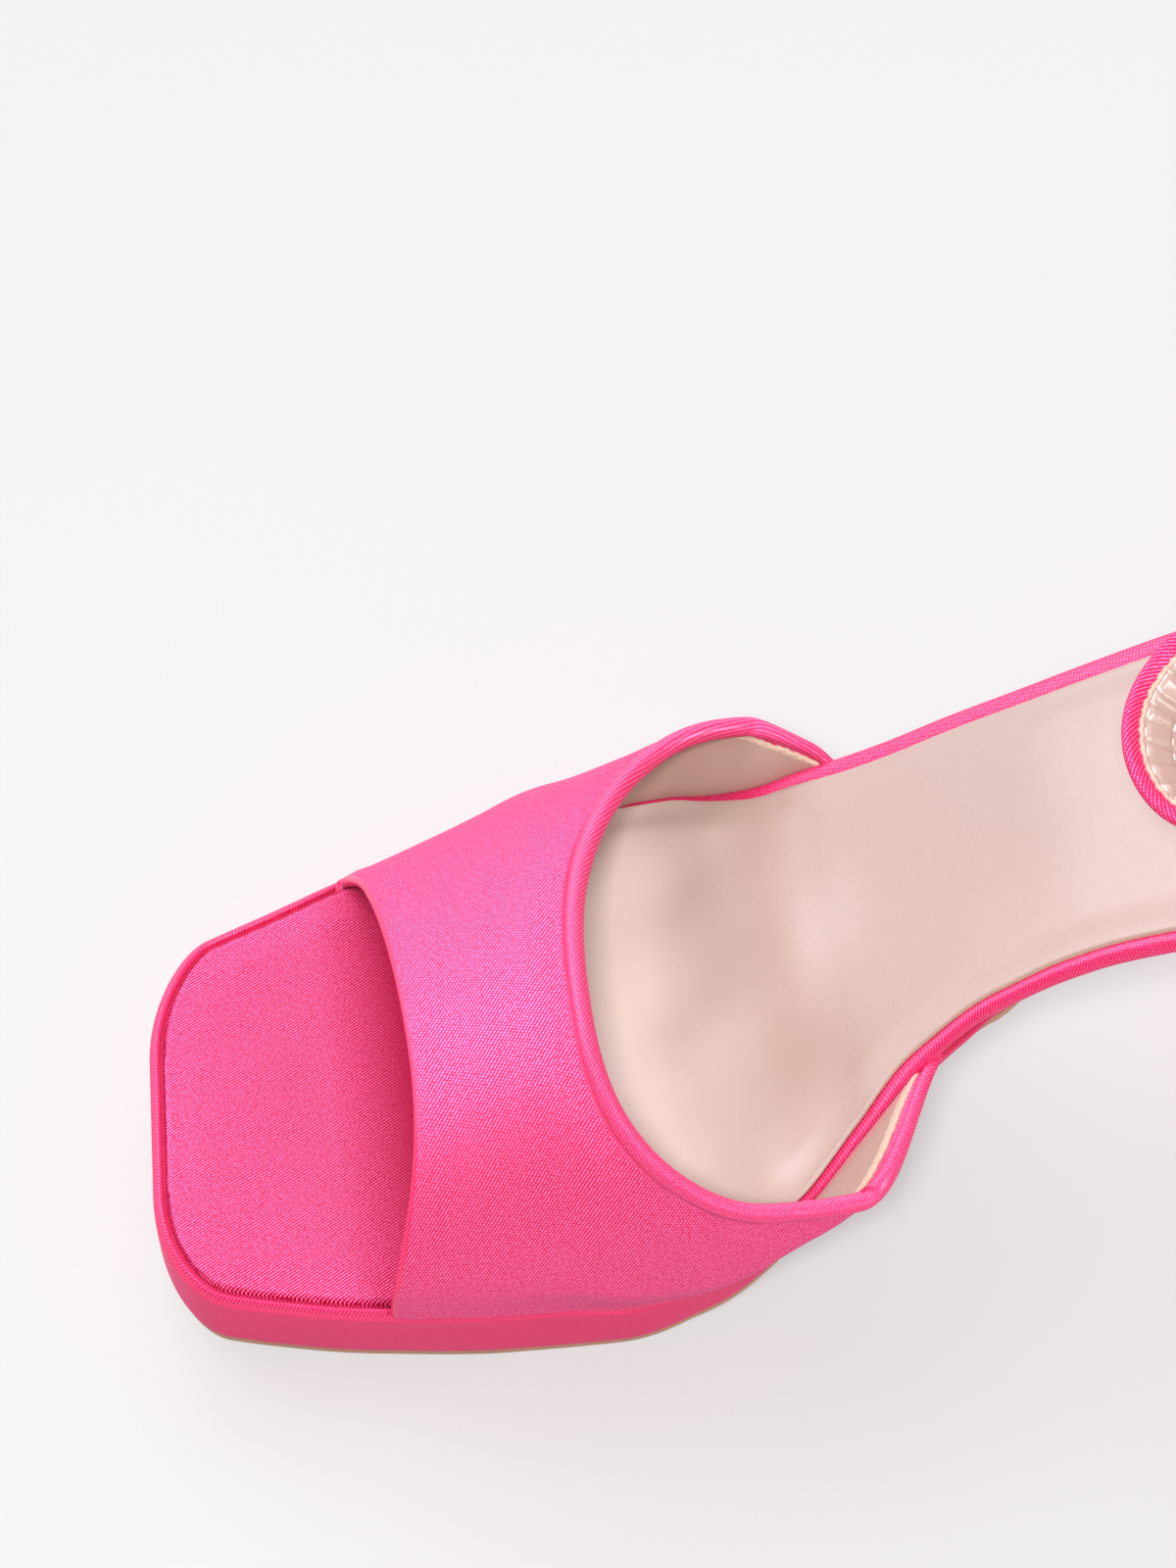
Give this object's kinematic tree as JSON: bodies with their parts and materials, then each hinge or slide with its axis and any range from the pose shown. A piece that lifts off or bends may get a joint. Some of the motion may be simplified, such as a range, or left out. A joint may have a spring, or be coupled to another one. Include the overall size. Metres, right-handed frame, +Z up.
{
  "type": "square toe platform sandal",
  "caption": "Women's open-toe platform sandal with a wide satin vamp band, cushioned insole, heel counter with elastic ankle strap and covered block heel.",
  "frame": {"origin": "on the floor, under the middle of the shoe's bounding box", "axes": "+X from toe to heel, -Y towards the inner side (big toe), +Z up"},
  "size_m": [0.2298, 0.092, 0.1469],
  "materials": {
    "satin": "hot pink satin, fine diagonal twill with a soft sheen",
    "sock_leather": "nude coated leather, fine grain, soft gloss",
    "outsole_rubber": "tan rubber, matt"
  },
  "bodies": {
    "root": {"outsole": "outsole_rubber", "platform": "satin", "insole_board": "satin", "toe_sock": "satin", "insole_sock": "sock_leather", "vamp": "satin", "heel": "satin", "heel_tip": "outsole_rubber", "counter": "satin", "ankle_strap": "satin"}
  },
  "joints": []
}
